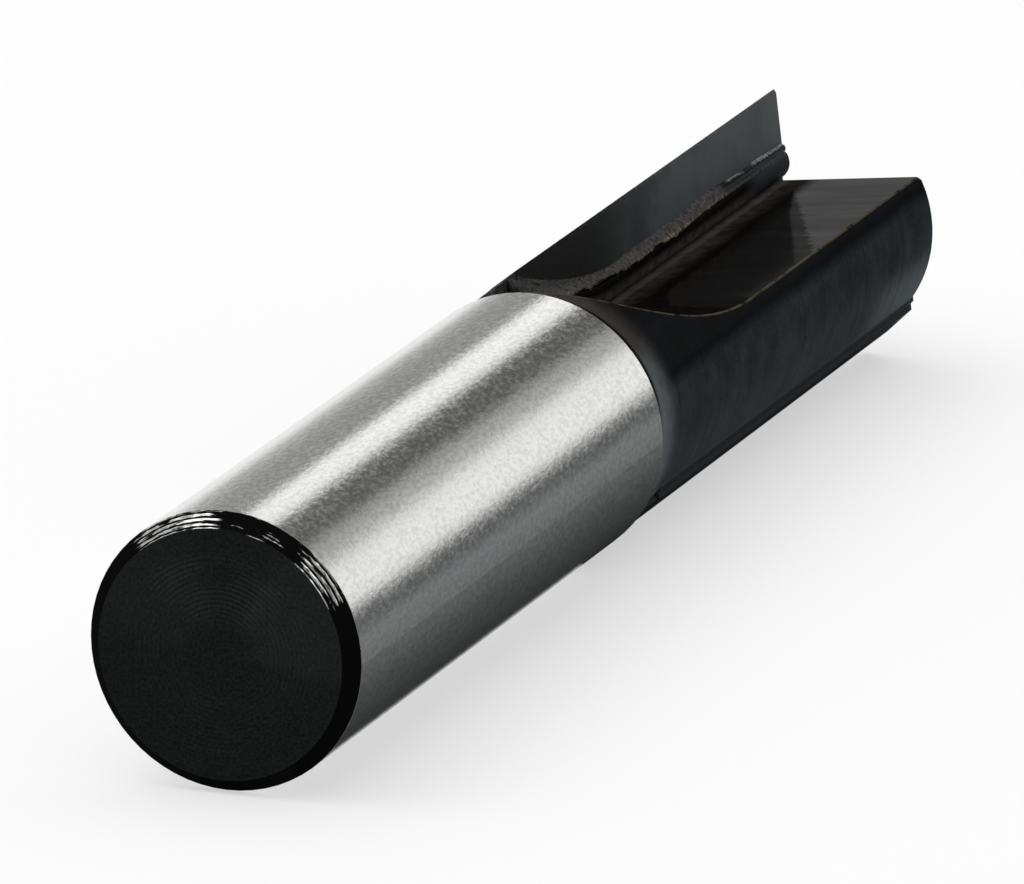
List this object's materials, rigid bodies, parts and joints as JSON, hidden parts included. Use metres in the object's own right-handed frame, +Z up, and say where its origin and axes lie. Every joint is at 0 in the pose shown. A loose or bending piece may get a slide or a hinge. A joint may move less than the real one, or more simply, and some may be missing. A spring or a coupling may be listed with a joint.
{
  "type": "router bit",
  "caption": "Straight router bit with a ground steel shank, a black milled head and brazed carbide tips that trim and groove wood.",
  "frame": {"origin": "centre of the shank's flat end face, on the bit's axis", "axes": "+Y along the bit's axis from the shank to the cutting end, +Z up with the bit lying on its side, +X to the right seen from the shank's end"},
  "size_m": [0.0126, 0.0762, 0.0126],
  "materials": {
    "tool_steel": "ground bright shank; black oxide on the head and on the shank's end",
    "carbide": "fine ground, satin grey",
    "braze": "rough silver braze, brown with gold specks"
  },
  "bodies": {
    "root": {"body": "tool_steel", "carbide_tip_1": "carbide", "carbide_tip_2": "carbide", "braze_1": "braze", "braze_2": "braze"}
  },
  "joints": []
}
